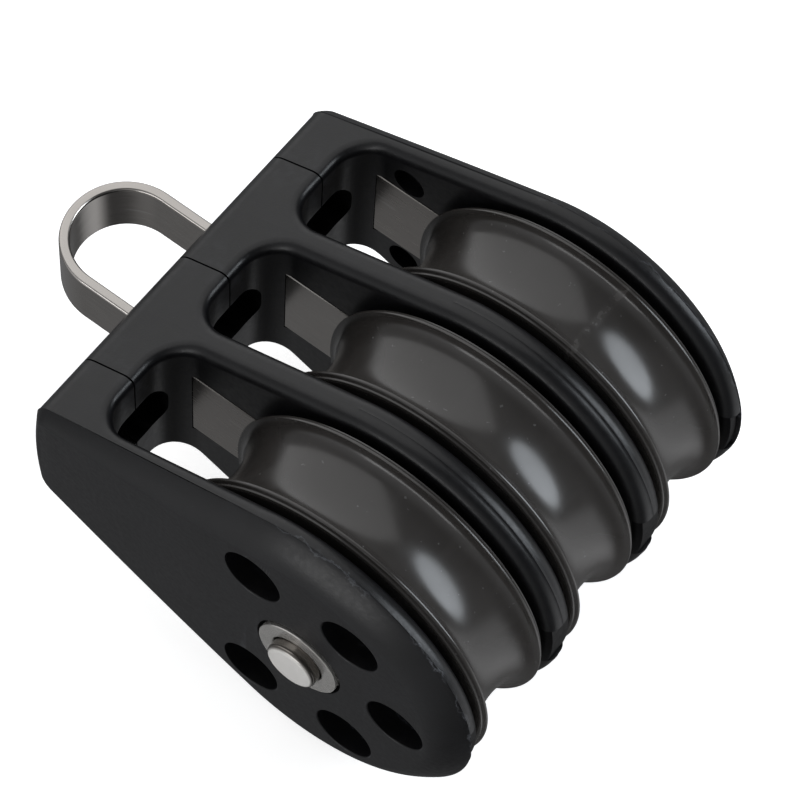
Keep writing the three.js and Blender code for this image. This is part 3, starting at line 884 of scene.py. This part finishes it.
def add_mirrored_pair(name, node, bm, material):
    """The near piece and its mirror image; node holds {} where the CAD names say near or far."""
    far = mirrored(bm)
    add_piece(name + "_near", bm, material, node.format("near"))
    add_piece(name + "_far", far, material, node.format("far"))


add_mirrored_pair("moulding_outer", "outer_cheek_{}", outer_cheek_mesh(), nylon)
add_mirrored_pair("moulding_inner", "inner_cheek_{}", inner_cheek_mesh(), nylon)
outer_low = OUTER_CHEEK_INNER - STRAP_PROUD
inner_low = INNER_CHEEK_OUTER + STRAP_PROUD - STRAP_THICKNESS
add_mirrored_pair(
    "strap_outer", "side_strap_{}_outer", strap_mesh(outer_low, outer_low + STRAP_THICKNESS), strap_steel,
)
add_mirrored_pair(
    "strap_inner", "side_strap_{}_inner", strap_mesh(inner_low, inner_low + STRAP_THICKNESS), strap_steel,
)
add_piece("bow", bow_mesh(), bow_steel, "bow_eye")
add_piece("axle", pin_mesh(), pin_steel, "axle_pin")
add_mirrored_pair("washer", "axle_washer_{}", washer_mesh(), washer_steel)
for place, y in (("near", -SHEAVE_PITCH), ("mid", 0), ("far", SHEAVE_PITCH)):
    wheel = sheave_mesh()
    bmesh.ops.translate(wheel, vec=(0, y, 0), verts=wheel.verts)
    add_piece("wheel_" + place, wheel, acetal, "sheave_" + place, place + "_sheave")

for node, material in (
    ("sheave_bush_near", bush), ("sheave_bush_mid", bush), ("sheave_bush_far", bush), ("head_pin", pin_steel),
):
    for index in range(len(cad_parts[node].material_slots)):
        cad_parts[node].material_slots[index].material = material


# ---- Studio ------------------------------------------------------------------------------------------------
FLOOR_RADIUS = 1.3
FLOOR_WALL = 0.25
FLOOR_SECTORS = 96
FLOOR_RINGS = 40


def add_floor():
    """A round pale floor whose rim turns up into a low wall, so that it has no edge behind the block."""
    profile = [(0.001 + FLOOR_RADIUS * (i / FLOOR_RINGS) ** 1.5, 0.0) for i in range(FLOOR_RINGS)]
    for degrees in range(0, 91, 10):
        turn = math.radians(degrees)
        profile.append((FLOOR_RADIUS + FLOOR_WALL * math.sin(turn), FLOOR_WALL * (1 - math.cos(turn))))
    rows = []
    bm = bmesh.new()
    for i in range(FLOOR_SECTORS):
        turn = 2 * math.pi * i / FLOOR_SECTORS
        rows.append([bm.verts.new((r * math.cos(turn), r * math.sin(turn), z)) for r, z in profile])
    for i in range(FLOOR_SECTORS):
        a, b = rows[i - 1], rows[i]
        for j in range(len(profile) - 1):
            bm.faces.new((a[j], a[j + 1], b[j + 1], b[j]))
    bm.faces.new([row[0] for row in rows])
    bmesh.ops.recalc_face_normals(bm, faces=bm.faces)
    mesh = bpy.data.meshes.new("studio_floor")
    bm.to_mesh(mesh)
    bm.free()
    mesh.polygons.foreach_set("use_smooth", [True] * len(mesh.polygons))
    floor = bpy.data.objects.new("studio_floor", mesh)
    floor.location.z = -0.0002
    floor.visible_glossy = False
    bpy.context.scene.collection.objects.link(floor)
    mesh.materials.append(floor_material())


def add_light(name, direction, distance, width, height, power, colour=(1, 1, 1), shape="RECTANGLE"):
    """A soft box that shines on the block from a direction, given as X, Y, Z from the axle."""
    data = bpy.data.lights.new(name, "AREA")
    data.shape = shape
    data.size = width
    data.size_y = height
    data.energy = power
    data.color = colour
    light = bpy.data.objects.new(name, data)
    bpy.context.scene.collection.objects.link(light)
    towards = Vector(direction).normalized()
    light.location = AXLE + towards * distance
    light.rotation_euler = towards.to_track_quat("Z", "Y").to_euler()


def add_world(dark, light, below, front):
    """What the block reflects past the lights.

    It is a dim studio, lighter towards the block's head than its tail, with more light from below the tail
    and from the near side.
    """
    world = bpy.data.worlds.new("studio")
    bpy.context.scene.world = world
    world.use_nodes = True
    tree = world.node_tree
    direction = tree.nodes.new("ShaderNodeTexCoord")
    split = tree.nodes.new("ShaderNodeSeparateXYZ")
    tree.links.new(direction.outputs["Generated"], split.inputs[0])

    def ramp(axis, start, end, low, high):
        node = tree.nodes.new("ShaderNodeMapRange")
        for name, value in (("From Min", start), ("From Max", end), ("To Min", low), ("To Max", high)):
            node.inputs[name].default_value = value
        tree.links.new(split.outputs[axis], node.inputs["Value"])
        return node.outputs[0]

    def combined(operation, a, b):
        node = tree.nodes.new("ShaderNodeMath")
        node.operation = operation
        tree.links.new(a, node.inputs[0])
        tree.links.new(b, node.inputs[1])
        return node.outputs[0]

    along = combined("MULTIPLY", ramp("X", 0.55, -0.6, dark, light), ramp("Z", -0.1, -0.5, 1, 0.7))
    under = combined("MULTIPLY", ramp("Z", -0.12, -0.24, 0, 1), ramp("Y", -0.15, 0.1, 0, 1))
    under_tail = combined("MULTIPLY", under, ramp("X", 0.25, 0.55, 0, below))
    strength = combined("ADD", combined("ADD", along, under_tail), ramp("Y", -0.45, -0.8, 0, front))
    background = tree.nodes["Background"]
    background.inputs["Color"].default_value = (0.97, 0.98, 1.0, 1)
    tree.links.new(strength, background.inputs["Strength"])


add_floor()
add_world(0.07, 0.27, 0.6, 0.35)
# The broad sheen on head, rims and the head's side of the sheaves.
add_light("head_box", (-0.62, 0.38, 0.66), 0.9, 1.55, 1.85, 7.4)
# The oval reflection towards each sheave's tail.
add_light("tail_box", (0.72, 0.50, 0.46), 0.8, 0.40, 0.78, 3.9, (0.88, 0.94, 1.0), "ELLIPSE")
# A weak fill on the near side, for the axle's end.
add_light("front_box", (-0.1, -1.0, 0.17), 0.8, 0.6, 0.22, 1.1)
bpy.context.scene.view_settings.view_transform = "Standard"
